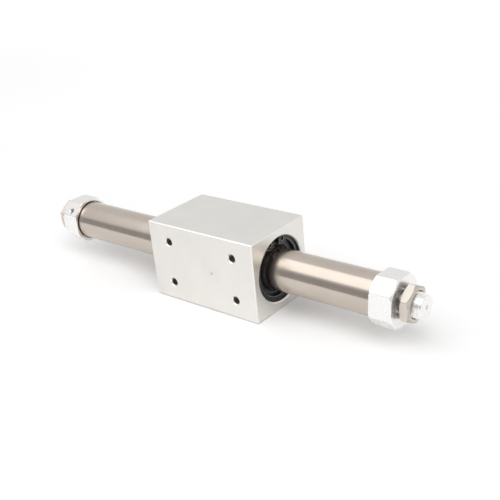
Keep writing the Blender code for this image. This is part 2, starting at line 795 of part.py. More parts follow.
def make_materials():
    """One plain finish for each kind of piece."""
    return {
        "slider": new_material("satin_anodised_aluminium", (0.72, 0.71, 0.69), 0.42, 0.85),
        "cover": new_material("bright_turned_aluminium", (0.82, 0.82, 0.80), 0.28, 0.95),
        "tube": new_material("ground_stainless_steel", (0.46, 0.41, 0.36), 0.30, 1.0),
        "nut": new_material("nickel_plated_steel", (0.66, 0.59, 0.50), 0.28, 1.0),
        "shaft": new_material("stainless_rod", (0.60, 0.59, 0.57), 0.30, 1.0),
        "piston": new_material("plain_aluminium", (0.70, 0.70, 0.69), 0.40, 0.95),
        "magnet": new_material("nickel_coated_magnet", (0.42, 0.42, 0.43), 0.35, 0.95),
        "yoke": new_material("zinc_plated_yoke", (0.52, 0.53, 0.54), 0.40, 0.95),
        "rubber": new_material("black_nitrile_rubber", (0.020, 0.020, 0.020), 0.65, 0.0),
        "bumper": new_material("amber_urethane", (0.45, 0.27, 0.10), 0.50, 0.0),
        "band": new_material("brown_guide_resin", (0.20, 0.11, 0.06), 0.50, 0.0),
        "holder": new_material("black_acetal", (0.025, 0.025, 0.026), 0.42, 0.0),
        "circlip": new_material("phosphated_spring_steel", (0.055, 0.055, 0.055), 0.38, 0.9),
    }


def build_cylinder(parts, tools, materials):
    """Everything that is fixed to the tube."""
    build_tube(parts, materials["tube"])
    covers = ((RIGHT, RIGHT_COVER_TURN, RIGHT_PORT_ANGLE), (LEFT, LEFT_COVER_TURN, LEFT_PORT_ANGLE))
    for side, turn, port_angle in covers:
        build_head_cover(side, turn, port_angle, parts, tools, materials["cover"])
        build_tube_seal(side, parts, materials["rubber"])
        build_bumper(side, parts, materials["bumper"])
    build_nut(RIGHT, RIGHT_NUT_STANDOFF, RIGHT_NUT_TURN, parts, tools, materials["nut"])
    build_nut(LEFT, LEFT_NUT_STANDOFF, LEFT_NUT_TURN, parts, tools, materials["nut"])


def build_piston_assembly(parts, tools, materials):
    """Everything that runs inside the tube."""
    carrier = carriage("piston_axis", parts)
    hole = SHAFT_RADIUS + CLEARANCE
    magnet_outer = PISTON_RADIUS - INNER_MAGNET_INSET
    build_stack("piston", hole, magnet_outer, PISTON_RADIUS, carrier, parts, materials)
    build_shaft(carrier, parts, materials["shaft"])
    for side in (LEFT, RIGHT):
        build_piston(side, carrier, parts, materials["piston"])
        build_piston_seal(side, carrier, parts, materials["rubber"])
        build_piston_band(side, carrier, parts, tools, materials["band"])


def build_slider_assembly(parts, tools, materials):
    """Everything that runs outside the tube."""
    carrier = carriage("slider_axis", parts)
    build_slider_body(carrier, parts, tools, materials["slider"])
    outer = RING_OUTER_RADIUS
    build_stack("slider", RING_INNER_RADIUS, outer, outer, carrier, parts, materials)
    for side in (LEFT, RIGHT):
        build_holder(side, carrier, parts, materials["holder"])
        build_slider_band(side, carrier, parts, tools, materials["band"])
        build_scraper(side, carrier, parts, materials["rubber"])
        build_circlip(side, carrier, parts, tools, materials["circlip"])


def main():
    clear_scene()
    parts = new_collection("rodless_pneumatic_cylinder")
    tools = new_collection("cutters")
    materials = make_materials()
    build_cylinder(parts, tools, materials)
    build_piston_assembly(parts, tools, materials)
    build_slider_assembly(parts, tools, materials)


main()
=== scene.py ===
"""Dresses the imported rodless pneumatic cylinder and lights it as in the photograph.

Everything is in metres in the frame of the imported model: +X along the tube, +Z up,
and the slider's mounting face towards -Y.
"""

import json
import math

import bmesh
import bpy
from mathutils import Matrix, Vector


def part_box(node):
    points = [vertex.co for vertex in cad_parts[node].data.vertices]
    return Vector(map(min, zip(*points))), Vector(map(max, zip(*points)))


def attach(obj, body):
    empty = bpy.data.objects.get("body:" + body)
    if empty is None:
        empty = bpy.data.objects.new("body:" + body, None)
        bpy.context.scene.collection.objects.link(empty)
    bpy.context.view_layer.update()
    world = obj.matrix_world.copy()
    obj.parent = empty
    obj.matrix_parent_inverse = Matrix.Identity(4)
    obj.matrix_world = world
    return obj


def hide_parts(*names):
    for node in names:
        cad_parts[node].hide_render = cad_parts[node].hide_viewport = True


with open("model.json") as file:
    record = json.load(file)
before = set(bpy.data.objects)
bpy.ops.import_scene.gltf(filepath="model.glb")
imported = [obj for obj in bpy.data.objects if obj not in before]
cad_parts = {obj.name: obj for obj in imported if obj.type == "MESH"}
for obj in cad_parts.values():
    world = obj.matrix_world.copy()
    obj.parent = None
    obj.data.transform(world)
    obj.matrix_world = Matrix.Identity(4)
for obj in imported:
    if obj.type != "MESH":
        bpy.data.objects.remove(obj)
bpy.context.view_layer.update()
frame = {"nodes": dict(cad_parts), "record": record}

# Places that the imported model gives
TUBE_LOW, TUBE_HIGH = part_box("cylinder_tube")
BLOCK_LOW, BLOCK_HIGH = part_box("slider_body")
AXIS_HEIGHT = (TUBE_LOW.z + TUBE_HIGH.z) / 2
BLOCK_MIDDLE = (BLOCK_LOW.x + BLOCK_HIGH.x) / 2
BLOCK_HALF = (BLOCK_HIGH.x - BLOCK_LOW.x) / 2
BLOCK_WIDTH = BLOCK_HIGH.z - BLOCK_LOW.z
TUBE_RADIUS = (TUBE_HIGH.z - TUBE_LOW.z) / 2
TUBE_END = TUBE_HIGH.x

# Tube
TUBE_BORE_RADIUS = 0.0080
TUBE_CHAMFER = 0.00025

# Slider block
BORE_RADIUS = 0.0142
GROOVE_RADIUS = 0.0151
GROOVE_START = 0.0258
GROOVE_END = 0.0276
MOUTH_CHAMFER = 0.0004
BLOCK_CHAMFER = 0.0004
HOLE_SPACING_LENGTH = 0.0350
HOLE_SPACING_HEIGHT = 0.0190
HOLE_DRILL_RADIUS = 0.00165
HOLE_THREAD_RADIUS = 0.0020
HOLE_PITCH = 0.0007
HOLE_DEPTH = 0.0050
HOLE_COUNTERSINK = 0.0005
HOLE_REACH = HOLE_THREAD_RADIUS * 1.1
NICK_PLACE = Vector((0.0119, -0.0175, 0.0176))
NICK_RADIUS = 0.0006
NICK_DEPTH = 0.00025
NICK_MOUTH = 1.3
NICK_FLOOR = 0.8
NICK_STRETCH = (1.0, 0.8, 1.25, 1.0)
NICK_REACH = NICK_RADIUS * 1.5
# Painted shade in the nick and on the lower end chamfers, as shares of the darkening
NICK_PAINTED_SHADE = 0.5
LOWER_EDGE_PAINTED_SHADE = 0.3

# Shares of a drilled hole's radius, for the tap that threads it
TAP_ROOT = 0.98
TAP_END = 0.9

# Guide parts in the mouth of the slider
HOLDER_START = 0.0190
HOLDER_END = 0.0258
HOLDER_RADIUS = 0.0139
HOLDER_POCKET_RADIUS = 0.0118
HOLDER_OPENING_RADIUS = 0.0102
HOLDER_LIP = 0.0008
HOLDER_CHAMFER = 0.0003
SCRAPER_START = 0.0221
SCRAPER_END = 0.0254
SCRAPER_SHOULDER = 0.0247
SCRAPER_OUTSIDE = 0.0115
SCRAPER_LIP_RADIUS = 0.0099
SCRAPER_GROOVE = 0.0012
SCRAPER_LIP_SHARE = 1.3
WIPE_RADIUS = 0.0092

# Retaining rings
CIRCLIP_START = 0.0261
CIRCLIP_END = 0.0273
CIRCLIP_RADIUS = 0.0148
CIRCLIP_BACK_WIDTH = 0.0029
CIRCLIP_TIP_WIDTH = 0.0021
CIRCLIP_LUG_WIDTH = 0.0043
CIRCLIP_LUG_ANGLE = 19.0
CIRCLIP_GAP_ANGLE = 9.0
CIRCLIP_EYE_RADIUS = 0.0009
CIRCLIP_EDGE = 0.00012
CIRCLIP_STEPS = 80
CIRCLIP_BUNCHING = 1.5

# Head covers
COVER_INNER_FACE = 0.0824
COVER_OUTER_FACE = 0.0920
COVER_HALF_WIDTH = 0.0100
COVER_FACE_WIDTH = 0.0100
COVER_CORNER_RADIUS = math.hypot(COVER_HALF_WIDTH, COVER_FACE_WIDTH / 2)
COVER_INNER_CHAMFER = 0.0004
COVER_OUTER_CHAMFER = 0.0010
COVER_OUTER_RIM = 0.0103
CLEAR_OF_CORNER = 0.0003
COVER_SPARE = 0.004
SOCKET_RADIUS = 0.0093
SOCKET_FLOOR = 0.0852
SOCKET_CHAMFER = 0.00025
SPIGOT_RADIUS = 0.0077
SPIGOT_FACE = 0.0807
SEAL_GROOVE_START = 0.0819
SEAL_GROOVE_END = 0.0839
SEAL_GROOVE_RADIUS = 0.0060
SNOUT_RADIUS = 0.0030
SNOUT_FACE = 0.0794
CHANNEL_RADIUS = 0.0015
PORT_X = 0.08705
PORT_RADIUS = 0.00125
PORT_THREAD_RADIUS = 0.0015
PORT_PITCH = 0.0005
PORT_COUNTERSINK = 0.0004
PORT_OFFSET = 0.0011
COVER_TURNS = {"right": -5.0, "left": 0.0}
PORT_ANGLES = {"right": 45.0, "left": 135.0}

# Noses
NOSE_END = 0.1010
NOSE_RADIUS = 0.0050
NOSE_ROOT_RADIUS = 0.0044
NOSE_PITCH = 0.0010
RELIEF_RADIUS = 0.0043
RELIEF_END = 0.0930
RELIEF_SLACK = 0.00002
NECK_INTO_THREAD = 0.0010
NECK_INTO_COVER = 0.0005
CENTRE_DRILL_RADIUS = 0.0010
CENTRE_DRILL_SINK = 0.0002
# Painted shade in the centre drilling of the nose's end
CENTRE_PAINTED_SHADE = 0.4

# Nuts
NUT_SIDES = 6
NUT_FLATS = 0.0140
NUT_THICKNESS = 0.0040
NUT_BORE_RADIUS = 0.00508
NUT_THREAD_RADIUS = 0.0055
NUT_MOUTH_RADIUS = 0.0057
NUT_LAND_RADIUS = 0.0065
NUT_CHAMFER_ANGLE = 30.0
NUT_TAP_ROOT = 0.995
NUT_TAP_END = 0.99
NUT_TAP_REACH = 0.9
NUT_FLAT_SLACK = 4.0
NUT_FLAT_TURN = 360.0 / NUT_SIDES
NUT_PLACES = {"right": 0.0953, "left": 0.0965}
NUT_TURNS = {"right": -28.0, "left": -25.0}

# Fineness
ROUND_SEGMENTS = 128
THREAD_SEGMENTS = 48
NOSE_SEGMENTS = 2 * THREAD_SEGMENTS
HOLE_SEGMENTS = 40
EYE_SEGMENTS = 24
NICK_SEGMENTS = 14
CORNER_STEPS = 3
CORNER_SHARE = 2.2
EDGE_ROUND = 0.00010
LONG_EDGE_ROUND = EDGE_ROUND * 1.5
SHARP_ANGLE = 38.0
TINY = 1e-7

# A thread over one pitch: where its rings of points lie, and half widths of its ridge and crest
THREAD_PHASES = (0.125, 0.28, 0.4375, 0.5625, 0.72, 0.875)
RIDGE_HALF = 0.375
CREST_HALF = 0.0625

# Parts of a face's normal along an axis, from which it counts as flat, sloped or leaning
SQUARE_LIMIT = 0.97
ALONG_LIMIT = 0.25
LEAN_LIMIT = 0.3

# Finishes
CLOUD_SCALE = 90.0
PATCH_SCALE = 700.0
FINE_DETAIL = 2.0
CLOUD_DETAIL = 3.0
PATCH_DETAIL = 4.0
NOISE_ROUGHNESS = 0.55
NOISE_LOW = 0.3
NOISE_HIGH = 0.7
LEAST_EDGE_WEAR_AND_LIGHT = 0.4
GRAIN_TONE = 0.35
LEAST_ROUGHNESS = 0.02
# Painted shade: faces that a piece's test marks are darkened towards this share of their colour
PAINTED_SHADE_GAIN = 0.30
GRIND_TURN = 0.25
MIX_FACTOR = 0
MIX_FIRST = 6
MIX_SECOND = 7
MIX_RESULT = 2

SIDES = {"right": 1, "left": -1}

# Camera, found from the photograph's own points
CAMERA_PLACE = Vector((0.225442, -0.236183, 0.165312))
CAMERA_AZIMUTH = 41.17459
CAMERA_ELEVATION = 24.44822
CAMERA_ROLL = -5.68690
CAMERA_LENS = 59.0091
CAMERA_NEAR = 0.01
SENSOR_WIDTH = 36.0


# Mesh helpers

def new_object(name, mesh):
    """Links a mesh to the scene as an object."""
    item = bpy.data.objects.new(name, mesh)
    bpy.context.scene.collection.objects.link(item)
    return item


def new_mesh(name, working):
    """Turns a bmesh into a mesh with its faces looking out."""
    bmesh.ops.recalc_face_normals(working, faces=working.faces)
    mesh = bpy.data.meshes.new(name)
    working.to_mesh(mesh)
    working.free()
    return mesh


def rounded(profile, reach, closed):
    """The same outline with each corner eased into a short curve."""
    points = []
    for index, place in enumerate(profile):
        corner = Vector(place)
        if not closed and index in (0, len(profile) - 1):
            points.append(corner)
            continue
        before = Vector(profile[index - 1]) - corner
        after = Vector(profile[(index + 1) % len(profile)]) - corner
        cut = min(reach, before.length / CORNER_SHARE, after.length / CORNER_SHARE)
        start = corner + before.normalized() * cut
        end = corner + after.normalized() * cut
        for step in range(CORNER_STEPS + 1):
            share = step / CORNER_STEPS
            rest = 1 - share
            points.append(start * rest ** 2 + corner * (2 * rest * share) + end * share ** 2)
    return points


def turned(profile, segments, closed=False):
    """A mesh turned about the X axis from (radius, x) points."""
    working = bmesh.new()
    rings = []
    for radius, x in profile:
        ring = []
        for step in range(segments if radius > TINY else 1):
            turn = 2 * math.pi * step / segments
            ring.append(working.verts.new((x, radius * math.cos(turn), radius * math.sin(turn))))
        rings.append(ring)
    if closed:
        rings.append(rings[0])
    for first, second in zip(rings, rings[1:]):
        for step in range(segments):
            corners = []
            around = ((first, step), (first, step + 1), (second, step + 1), (second, step))
            for ring, index in around:
                corner = ring[index % len(ring)]
                if corner not in corners:
                    corners.append(corner)
            working.faces.new(corners)
    return new_mesh("turned", working)


def thread_radius(phase, root, crest):
    """Radius of a V thread with flats, at a phase from 0 to 1 of its pitch."""
    share = (RIDGE_HALF - abs(phase - 0.5)) / (RIDGE_HALF - CREST_HALF)
    return root + (crest - root) * min(max(share, 0.0), 1.0)


def threaded_rod(start, end, root, crest, pitch, start_radius, end_radius, segments):
    """A closed rod along X with a helical thread that runs out in a cone at each end."""
    working = bmesh.new()
    per_turn = len(THREAD_PHASES)
    turns = int((end - start) / pitch) + 3
    grid = []
    for row in range((turns + 1) * per_turn):
        phase = THREAD_PHASES[row % per_turn]
        line = []
        for step in range(segments):
            x = start + pitch * (row // per_turn + phase + step / segments - 2)
            x = min(max(x, start), end)
            radius = thread_radius(phase, root, crest)
            radius = min(radius, start_radius + x - start, end_radius + end - x)
            turn = 2 * math.pi * step / segments
            line.append(working.verts.new((x, radius * math.cos(turn), radius * math.sin(turn))))
        grid.append(line)
    for row in range(turns * per_turn - 1):
        for step in range(segments):
            if step + 1 < segments:
                corners = (grid[row][step], grid[row][step + 1], grid[row + 1][step + 1])
            else:
                far = row + per_turn
                corners = (grid[row][step], grid[far][0], grid[far + 1][0])
            working.faces.new(corners + (grid[row + 1][step],))
    bmesh.ops.remove_doubles(working, verts=working.verts, dist=TINY)
    for level in (start, end):
        rim = [edge for edge in working.edges if edge.is_boundary
               and all(abs(vertex.co.x - level) < TINY for vertex in edge.verts)]
        bmesh.ops.edgeloop_fill(working, edges=rim)
    loose = [vertex for vertex in working.verts if not vertex.link_faces]
    bmesh.ops.delete(working, geom=loose, context="VERTS")
    return new_mesh("thread", working)


def block(size, chamfer):
    """A box about the origin whose edges are chamfered and then eased."""
    working = bmesh.new()
    bmesh.ops.create_cube(working, size=1.0, matrix=Matrix.Diagonal((*size, 1.0)))
    bmesh.ops.bevel(working, geom=working.edges[:], offset=chamfer, segments=1, affect="EDGES")
    bmesh.ops.bevel(
        working, geom=working.edges[:], offset=EDGE_ROUND / 2, segments=2, affect="EDGES",
        profile=0.5)
    return new_mesh("block", working)


def bar(corners, length, ease):
    """A bar along X from the (y, z) corners of its section, with its long edges eased."""
    working = bmesh.new()
    near = [working.verts.new((-length / 2, y, z)) for y, z in corners]
    far = [working.verts.new((length / 2, y, z)) for y, z in corners]
    working.faces.new(near)
    working.faces.new(far)
    for index in range(len(corners)):
        after = (index + 1) % len(corners)
        working.faces.new((near[index], near[after], far[after], far[index]))
    long_edges = [edge for edge in working.edges
                  if abs(edge.verts[0].co.x - edge.verts[1].co.x) > length / 2]
    bmesh.ops.recalc_face_normals(working, faces=working.faces)
    bmesh.ops.bevel(
        working, geom=long_edges, offset=ease, segments=CORNER_STEPS, affect="EDGES",
        profile=0.5)
    return new_mesh("bar", working)


def moved(mesh, matrix):
    """Moves a mesh and gives it back."""
    mesh.transform(matrix)
    if matrix.determinant() < 0:
        mesh.flip_normals()
    return mesh


def gathered(meshes):
    """Several meshes that don't touch, as one."""
    working = bmesh.new()
    for mesh in meshes:
        working.from_mesh(mesh)
    return new_mesh("gathered", working)


def combined(base, tool, operation):
    """Cuts one mesh with another, or adds them."""
    body = new_object("combine_base", base)
    other = new_object("combine_tool", tool)
    step = body.modifiers.new("combine", "BOOLEAN")
    step.operation = operation
    step.solver = "EXACT"
    step.object = other
    return taken_off(body, other)


def taken_off(body, *others):
    """The mesh of an object with its modifiers applied; the objects are removed."""
    bpy.context.view_layer.update()
    graph = bpy.context.evaluated_depsgraph_get()
    mesh = bpy.data.meshes.new_from_object(body.evaluated_get(graph))
    for item in (body, *others):
        bpy.data.objects.remove(item, do_unlink=True)
    return mesh


def axis_turn(degrees):
    """A turn about the X axis, from +Y towards +Z."""
    return Matrix.Rotation(math.radians(degrees), 4, "X")


def on_axis(x, side=1):
    """From a local frame on the axis, +X outwards, to the row frame."""
    facing = Matrix.Rotation(0.0 if side > 0 else math.pi, 4, "Z")
    return Matrix.Translation((x, 0.0, AXIS_HEIGHT)) @ facing


def mark_faces(mesh, name, share):
    """Stores on each face the share, from 0 to 1, that a test gives, for the finish to find."""
    mark = mesh.attributes.new(name, "FLOAT", "FACE")
    for polygon in mesh.polygons:
        mark.data[polygon.index].value = float(share(polygon))


def oblique(polygon):
    """True on the chamfers of a square block."""
    normal = polygon.normal
    return max(abs(normal.x), abs(normal.y), abs(normal.z)) < SQUARE_LIMIT


def end_chamfer(polygon):
    """True on faces that are neither along the axis nor square to it."""
    return ALONG_LIMIT < abs(polygon.normal.x) < SQUARE_LIMIT


def dress(name, mesh, body, slot, nodes, edge_wear_and_light, painted_shade_test=None):
    """Makes a finished piece from a mesh and puts it in place of the CAD nodes."""
    mark_faces(mesh, "edge_wear", edge_wear_and_light)
    if painted_shade_test:
        mark_faces(mesh, "hollow", painted_shade_test)
    mesh.materials.clear()
    mesh.materials.append(FINISHES[slot])
    for polygon in mesh.polygons:
        polygon.material_index = 0
    mesh.shade_smooth()
    mesh.set_sharp_from_angle(angle=math.radians(SHARP_ANGLE))
    rough = new_object("rough", mesh)
    normals = rough.modifiers.new("normals", "WEIGHTED_NORMAL")
    normals.keep_sharp = True
    done = taken_off(rough)
    done.name = name
    piece = new_object(name, done)
    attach(piece, body)
    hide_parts(*nodes)
    return piece


# Finishes

def add(tree, kind, inputs=(), **settings):
    """Adds a node, sets it up, and wires or fills its inputs."""
    made = tree.nodes.new(kind)
    for key, value in settings.items():
        setattr(made, key, value)
    for key, value in inputs:
        if isinstance(value, bpy.types.NodeSocket):
            tree.links.new(value, made.inputs[key])
        else:
            made.inputs[key].default_value = value
    return made


def noise(tree, place, scale, stretch, detail):
    """Noise in the piece's own space, pulled out along an axis by the stretch."""
    spread = add(tree, "ShaderNodeMapping", [("Vector", place), ("Scale", stretch)])
    grain = add(tree, "ShaderNodeTexNoise", [
        ("Vector", spread.outputs["Vector"]), ("Scale", scale), ("Detail", detail),
        ("Roughness", NOISE_ROUGHNESS)])
    return grain.outputs["Fac"]


def blend(tree, amount, first, second):
    """Mixes two colours."""
    mixed = add(tree, "ShaderNodeMix", [
        (MIX_FACTOR, amount), (MIX_FIRST, first), (MIX_SECOND, second)], data_type="RGBA")
    return mixed.outputs[MIX_RESULT]


def rescale(tree, value, low, high, from_low=NOISE_LOW, from_high=NOISE_HIGH):
    """Maps noise onto a range of values."""
    mapped = add(tree, "ShaderNodeMapRange", [
        ("Value", value), ("From Min", from_low), ("From Max", from_high),
        ("To Min", low), ("To Max", high)])
    return mapped.outputs["Result"]


def shade(colour, factor):
    """A colour made lighter or darker, for a colour input."""
    return tuple(min(channel * factor, 1.0) for channel in colour) + (1.0,)


def make_finish(name, colour, roughness, metallic=1.0, grain=6000.0, stretch=(1.0, 1.0, 1.0),
                relief=0.000002, colour_change=0.03, roughness_change=0.04, edge_wear_and_light_gain=1.06,
                anisotropy=0.0, specular=0.5):
    """A surface with fine grain, cloudy tone, uneven gloss, relief, an edge tone that is wear on
    most finishes and painted highlights and painted dark reflection on a few, and painted shade on
    marked faces.
    """
    material = bpy.data.materials.new(name)
    material.use_nodes = True
    tree = material.node_tree
    surface = tree.nodes["Principled BSDF"]
    place = add(tree, "ShaderNodeTexCoord").outputs["Object"]
    fine = noise(tree, place, grain, stretch, FINE_DETAIL)
    cloudy = noise(tree, place, CLOUD_SCALE, (1.0, 1.0, 1.0), CLOUD_DETAIL)
    patchy = noise(tree, place, PATCH_SCALE, stretch, PATCH_DETAIL)
    edge_wear_and_light = add(tree, "ShaderNodeAttribute", attribute_name="edge_wear").outputs["Fac"]
    broken = add(tree, "ShaderNodeMath", [
        (0, edge_wear_and_light), (1, rescale(tree, patchy, LEAST_EDGE_WEAR_AND_LIGHT, 1.0))], operation="MULTIPLY").outputs[0]

    darker = shade(colour, 1.0 - colour_change)
    lighter = shade(colour, 1.0 + colour_change)
    tone = blend(tree, rescale(tree, cloudy, 0.0, 1.0), darker, lighter)
    grain_tone = blend(tree, rescale(tree, fine, 0.0, GRAIN_TONE), tone, darker)
    # Edge tone: wear on most finishes, painted highlights on the black guide, wiper and retaining
    # rings, and a painted dark reflection on the nuts
    edge_wear_and_light_tone = blend(tree, broken, grain_tone, shade(colour, edge_wear_and_light_gain))
    # Painted shade on the faces that the piece's test marks
    hollow = add(tree, "ShaderNodeAttribute", attribute_name="hollow").outputs["Fac"]
    painted_shade_tone = blend(tree, hollow, edge_wear_and_light_tone, shade(colour, PAINTED_SHADE_GAIN))
    tree.links.new(painted_shade_tone, surface.inputs["Base Color"])

    low = max(roughness - roughness_change, LEAST_ROUGHNESS)
    gloss = rescale(tree, patchy, low, roughness + roughness_change)
    tree.links.new(gloss, surface.inputs["Roughness"])
    bump = add(tree, "ShaderNodeBump", [
        ("Height", fine), ("Distance", relief), ("Strength", 1.0)])
    tree.links.new(bump.outputs["Normal"], surface.inputs["Normal"])
    surface.inputs["Metallic"].default_value = metallic
    surface.inputs["Specular IOR Level"].default_value = specular
    if anisotropy:
        surface.inputs["Anisotropic"].default_value = anisotropy
        surface.inputs["Anisotropic Rotation"].default_value = GRIND_TURN
        around = add(tree, "ShaderNodeTangent", direction_type="RADIAL", axis="X")
        tree.links.new(around.outputs["Tangent"], surface.inputs["Tangent"])
    return material


TURNED_LINES = (1.0, 0.03, 0.03)

FINISHES = {
    "slider_aluminium": make_finish(
        "satin_anodised", (0.81, 0.79, 0.757), 0.40, grain=7000.0, relief=0.0000012,
        edge_wear_and_light_gain=1.15),
    "cover_aluminium": make_finish(
        "clear_anodised", (0.91, 0.90, 0.885), 0.28, grain=8000.0, relief=0.0000001,
        colour_change=0.015, roughness_change=0.015),
    "tube_steel": make_finish(
        "ground_stainless", (0.565, 0.50, 0.44), 0.21, grain=9000.0, stretch=TURNED_LINES,
        relief=0.0000006, anisotropy=0.5, roughness_change=0.04),
    # Painted dark reflection: the nut's chamfers and eased corners are made darker
    "nut_nickel": make_finish(
        "plated_nickel", (0.76, 0.71, 0.652), 0.66, grain=6000.0, relief=0.0000002,
        colour_change=0.015, roughness_change=0.02, edge_wear_and_light_gain=0.70),
    "shaft_steel": make_finish(
        "drawn_steel", (0.60, 0.59, 0.57), 0.25, grain=8000.0, stretch=TURNED_LINES),
    "piston_aluminium": make_finish(
        "turned_aluminium", (0.78, 0.77, 0.75), 0.30, grain=8000.0, stretch=TURNED_LINES),
    "magnet_nickel": make_finish(
        "bright_nickel", (0.70, 0.68, 0.64), 0.18, grain=2500.0, relief=0.000001),
    "yoke_steel": make_finish(
        "plain_steel", (0.45, 0.44, 0.43), 0.35, grain=6000.0, stretch=TURNED_LINES),
    # Painted highlight: the wiper's eased edges are made a little lighter
    "black_rubber": make_finish(
        "black_rubber", (0.018, 0.018, 0.019), 0.42, metallic=0.0, grain=5000.0,
        relief=0.000003, edge_wear_and_light_gain=1.5),
    "bumper_urethane": make_finish(
        "urethane", (0.30, 0.20, 0.10), 0.45, metallic=0.0, grain=3000.0, relief=0.000003),
    "guide_resin": make_finish(
        "guide_resin", (0.10, 0.085, 0.07), 0.45, metallic=0.0, grain=4000.0, relief=0.000003),
    # Painted highlights: the guide's eased edges are made many times lighter
    "holder_plastic": make_finish(
        "black_resin", (0.010, 0.010, 0.011), 0.35, metallic=0.0, grain=4500.0,
        relief=0.000001, edge_wear_and_light_gain=20.0, specular=0.4),
    # Painted highlights: the retaining rings' eased edges are made many times lighter
    "circlip_steel": make_finish(
        "blackened_spring_steel", (0.010, 0.010, 0.010), 0.30, metallic=0.0, grain=6000.0,
        relief=0.000001, edge_wear_and_light_gain=60.0, specular=0.45),
}


# Pieces

def add_tube():
    """The ground tube, eased at both ends."""
    end = TUBE_END
    profile = [
        (TUBE_BORE_RADIUS, -end),
        (TUBE_RADIUS - TUBE_CHAMFER, -end),
        (TUBE_RADIUS, TUBE_CHAMFER - end),
        (TUBE_RADIUS, end - TUBE_CHAMFER),
        (TUBE_RADIUS - TUBE_CHAMFER, end),
        (TUBE_BORE_RADIUS, end),
    ]
    mesh = turned(profile, ROUND_SEGMENTS, closed=True)
    dress("tube_shell", moved(mesh, on_axis(0.0)), "cylinder", "tube_steel", ["cylinder_tube"],
          end_chamfer)


def bore_profile():
    """Outline of the slider's through bore, as a cutter."""
    half = [
        (BORE_RADIUS + 2 * MOUTH_CHAMFER, BLOCK_HALF + MOUTH_CHAMFER),
        (BORE_RADIUS, BLOCK_HALF - MOUTH_CHAMFER),
        (BORE_RADIUS, GROOVE_END),
        (GROOVE_RADIUS, GROOVE_END),
        (GROOVE_RADIUS, GROOVE_START),
        (BORE_RADIUS, GROOVE_START),
    ]
    other_half = [(radius, -x) for radius, x in reversed(half)]
    past = half[0][1]
    return [(0.0, past)] + half + other_half + [(0.0, -past)]


def hole_cutters(radius, crest, pitch, depth, sink, segments):
    """A drill with its countersink, and a tap, for a hole that starts at the origin.

    Both cut towards -X.
    """
    drill = turned([
        (0.0, sink),
        (radius + 2 * sink, sink),
        (radius, -sink),
        (radius, -depth),
        (0.0, -depth - radius / 2),
    ], segments)
    tap = threaded_rod(pitch - depth, sink / 2, radius * TAP_ROOT, crest, pitch,
                       radius * TAP_END, radius * TAP_END, segments)
    return drill, tap


def facing_down(polygon):
    """True on chamfers of the block that look towards the floor."""
    return oblique(polygon) and polygon.normal.z < -LEAN_LIMIT


def block_wear_and_painted_shade(polygon):
    """True on the chamfers that take the lighter tone of wear; the lower ones are left out so that
    they stay darker, as painted shade.
    """
    return oblique(polygon) and not facing_down(polygon)


def block_painted_shade(polygon):
    """Painted shade: 1 in the tapped holes below their countersinks, less in the nick and on the
    lower end chamfers.
    """
    place = polygon.center - Vector((BLOCK_MIDDLE, -BLOCK_WIDTH / 2, AXIS_HEIGHT))
    across = abs(abs(place.x) - HOLE_SPACING_LENGTH / 2)
    upright = abs(abs(place.z) - HOLE_SPACING_HEIGHT / 2)
    if place.y > HOLE_COUNTERSINK and math.hypot(across, upright) < HOLE_REACH:
        return 1.0
    if place.y > TINY and (polygon.center - NICK_PLACE).length < NICK_REACH:
        return NICK_PAINTED_SHADE
    on_end = facing_down(polygon) and abs(polygon.normal.x) > LEAN_LIMIT
    return LOWER_EDGE_PAINTED_SHADE if on_end else 0.0


def add_slider_block():
    """The square block with its bore, retaining grooves, tapped holes and one nick."""
    mesh = block((2 * BLOCK_HALF, BLOCK_WIDTH, BLOCK_WIDTH), BLOCK_CHAMFER)
    drills = []
    taps = []
    inward = Matrix.Rotation(-math.pi / 2, 4, "Z")
    for along in (-1, 1):
        for up in (-1, 1):
            drill, tap = hole_cutters(
                HOLE_DRILL_RADIUS, HOLE_THREAD_RADIUS, HOLE_PITCH, HOLE_DEPTH,
                HOLE_COUNTERSINK, HOLE_SEGMENTS)
            place = Matrix.Translation((
                along * HOLE_SPACING_LENGTH / 2, -BLOCK_WIDTH / 2, up * HOLE_SPACING_HEIGHT / 2))
            drills.append(moved(drill, place @ inward))
            taps.append(moved(tap, place @ inward))
    nick = turned([
        (0.0, NICK_DEPTH),
        (NICK_RADIUS * NICK_MOUTH, NICK_DEPTH),
        (NICK_RADIUS * NICK_FLOOR, -NICK_DEPTH / 2),
        (0.0, -NICK_DEPTH),
    ], NICK_SEGMENTS)
    nick_place = Matrix.Translation(NICK_PLACE - Vector((BLOCK_MIDDLE, 0.0, AXIS_HEIGHT)))
    drills.append(moved(nick, nick_place @ inward @ Matrix.Diagonal(NICK_STRETCH)))
    mesh = combined(mesh, gathered(drills), "DIFFERENCE")
    mesh = combined(mesh, gathered(taps), "DIFFERENCE")
    mesh = combined(mesh, turned(bore_profile(), ROUND_SEGMENTS), "DIFFERENCE")
    dress("slider_block", moved(mesh, on_axis(BLOCK_MIDDLE)), "slider", "slider_aluminium",
          ["slider_body"], block_wear_and_painted_shade, block_painted_shade)


def add_holder(name, side):
    """The black end guide with its eased opening."""
    profile = rounded([
        (HOLDER_RADIUS, HOLDER_START),
        (HOLDER_RADIUS, HOLDER_END),
        (HOLDER_OPENING_RADIUS + HOLDER_CHAMFER, HOLDER_END),
        (HOLDER_OPENING_RADIUS, HOLDER_END - HOLDER_CHAMFER),
        (HOLDER_OPENING_RADIUS, HOLDER_END - HOLDER_LIP),
        (HOLDER_POCKET_RADIUS, HOLDER_END - HOLDER_LIP),
        (HOLDER_POCKET_RADIUS, HOLDER_START),
    ], EDGE_ROUND, True)
    mesh = turned(profile, ROUND_SEGMENTS, closed=True)
    dress(f"end_guide_{name}", moved(mesh, on_axis(BLOCK_MIDDLE, side)), "slider",
          "holder_plastic", [f"scraper_holder_{name}"], end_chamfer)


